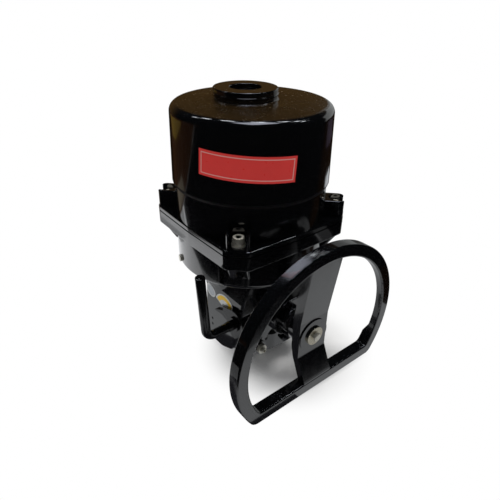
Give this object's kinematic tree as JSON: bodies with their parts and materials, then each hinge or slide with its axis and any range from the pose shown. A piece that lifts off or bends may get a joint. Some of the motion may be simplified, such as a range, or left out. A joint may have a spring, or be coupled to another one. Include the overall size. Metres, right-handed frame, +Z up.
{
  "type": "motorized valve actuator",
  "caption": "Electric quarter-turn valve actuator: round cast cover with sight window on a flanged gear housing, dished D-shaped handwheel in front and declutch lever at the side.",
  "frame": {"origin": "centre of the valve mounting face, on the output axis", "axes": "+Z up along the output axis, towards the cover; -Y towards the handwheel; -X towards the declutch lever"},
  "size_m": [0.2452, 0.2327, 0.3343],
  "materials": {
    "black_casting": "gloss",
    "wheel_casting": "gloss",
    "lever_black": "satin",
    "zinc_steel": "satin",
    "black_steel": "satin",
    "machined_steel": "satin",
    "bronze": "satin",
    "rubber": "matte",
    "sight_glass": "gloss",
    "dial_plastic": "matte",
    "dark_plastic": "matte",
    "pale_plastic": "matte",
    "motor_paint": "satin",
    "plain_aluminium": "satin"
  },
  "bodies": {
    "housing": {"body_housing": "black_casting", "gear_case": "black_casting", "base_flange": "black_casting", "case_screws": "black_steel", "base_screws": "black_steel", "top_cover": "black_casting", "cover_gasket": "rubber", "cover_bolts": "zinc_steel", "cover_washers": "zinc_steel", "window_ring": "black_casting", "window_glass": "sight_glass", "window_seal": "rubber", "lever_bush": "bronze", "output_bushes": "bronze", "output_seal": "rubber", "motor": "motor_paint", "reduction_pin": "machined_steel", "drive_shaft_bush": "bronze", "gear_cover": "black_casting", "gear_cover_screws": "black_steel", "shaft_bearings": "machined_steel", "shaft_seal": "rubber", "worm_plug": "black_steel", "stop_screw_closed": "zinc_steel", "stop_nut_closed": "zinc_steel", "stop_screw_open": "black_steel", "stop_nut_open": "black_steel", "conduit_plugs": "dark_plastic", "earth_screw": "zinc_steel", "mounting_plate": "machined_steel", "plate_posts": "machined_steel", "switch_bracket": "zinc_steel", "limit_switches": "dark_plastic", "terminal_block": "pale_plastic", "capacitor": "plain_aluminium", "heater": "plain_aluminium"},
    "handwheel": {"handwheel": "wheel_casting", "handwheel_washer": "zinc_steel", "handwheel_screw": "zinc_steel", "handwheel_shaft": "machined_steel", "hand_pinion": "machined_steel"},
    "worm": {"worm_shaft": "machined_steel", "hand_gear": "machined_steel"},
    "clutch_ring": {"clutch_ring": "machined_steel"},
    "output": {"worm_wheel": "bronze", "output_sleeve": "machined_steel", "drive_bush": "machined_steel", "indicator_shaft": "machined_steel", "travel_cams": "dark_plastic", "indicator_dial": "dial_plastic"},
    "lever": {"lever_hub": "lever_black", "lever_rod": "lever_black", "lever_shaft": "machined_steel"},
    "drive_shaft": {"drive_shaft": "machined_steel"},
    "reduction_gear": {"reduction_gear": "machined_steel"},
    "motor_pinion": {"motor_pinion": "machined_steel"},
    "motor_bevel_gear": {"motor_bevel_gear": "machined_steel"}
  },
  "joints": [
    {"name": "handwheel_turn", "type": "hinge", "parent": "housing", "child": "handwheel", "pos_m": [0, -0.1, 0.0735], "axis": [0, -1, 0], "range_deg": [0, 5040]},
    {"name": "worm_turn", "type": "hinge", "parent": "housing", "child": "worm", "pos_m": [0.036, -0.02, 0.0735], "axis": [0, -1, 0], "range_deg": [-5040, 0]},
    {"name": "output_turn", "type": "hinge", "parent": "housing", "child": "output", "pos_m": [0, 0, 0.06], "axis": [0, 0, 1], "range_deg": [0, 90]},
    {"name": "lever_swing", "type": "hinge", "parent": "housing", "child": "lever", "pos_m": [-0.07, -0.05, 0.072], "axis": [1, 0, 0], "range_deg": [0, 45]},
    {"name": "clutch_slide", "type": "slide", "parent": "worm", "child": "clutch_ring", "axis": [0, -1, 0], "range_m": [0, 0.00421]},
    {"name": "drive_shaft_turn", "type": "hinge", "parent": "housing", "child": "drive_shaft", "pos_m": [0.036, -0.027, 0.13], "axis": [0, 0, 1], "continuous": true},
    {"name": "reduction_turn", "type": "hinge", "parent": "housing", "child": "reduction_gear", "pos_m": [0.0349, 0.00502, 0.17], "axis": [0, 0, 1], "continuous": true},
    {"name": "motor_turn", "type": "hinge", "parent": "housing", "child": "motor_pinion", "pos_m": [0.034, 0.031, 0.18], "axis": [0, 0, 1], "continuous": true},
    {"name": "motor_bevel_turn", "type": "hinge", "parent": "housing", "child": "motor_bevel_gear", "pos_m": [0.036, -0.035, 0.0735], "axis": [0, -1, 0], "continuous": true}
  ],
  "couplings": [
    {"joint": "worm_turn", "follows": "handwheel_turn", "ratio": -1},
    {"joint": "output_turn", "follows": "handwheel_turn", "ratio": 0.017857},
    {"joint": "clutch_slide", "follows": "lever_swing", "m_per_rad": 0.0053597},
    {"joint": "reduction_turn", "follows": "drive_shaft_turn", "ratio": -3},
    {"joint": "motor_turn", "follows": "drive_shaft_turn", "ratio": 10},
    {"joint": "motor_bevel_turn", "follows": "drive_shaft_turn", "ratio": -0.7}
  ]
}
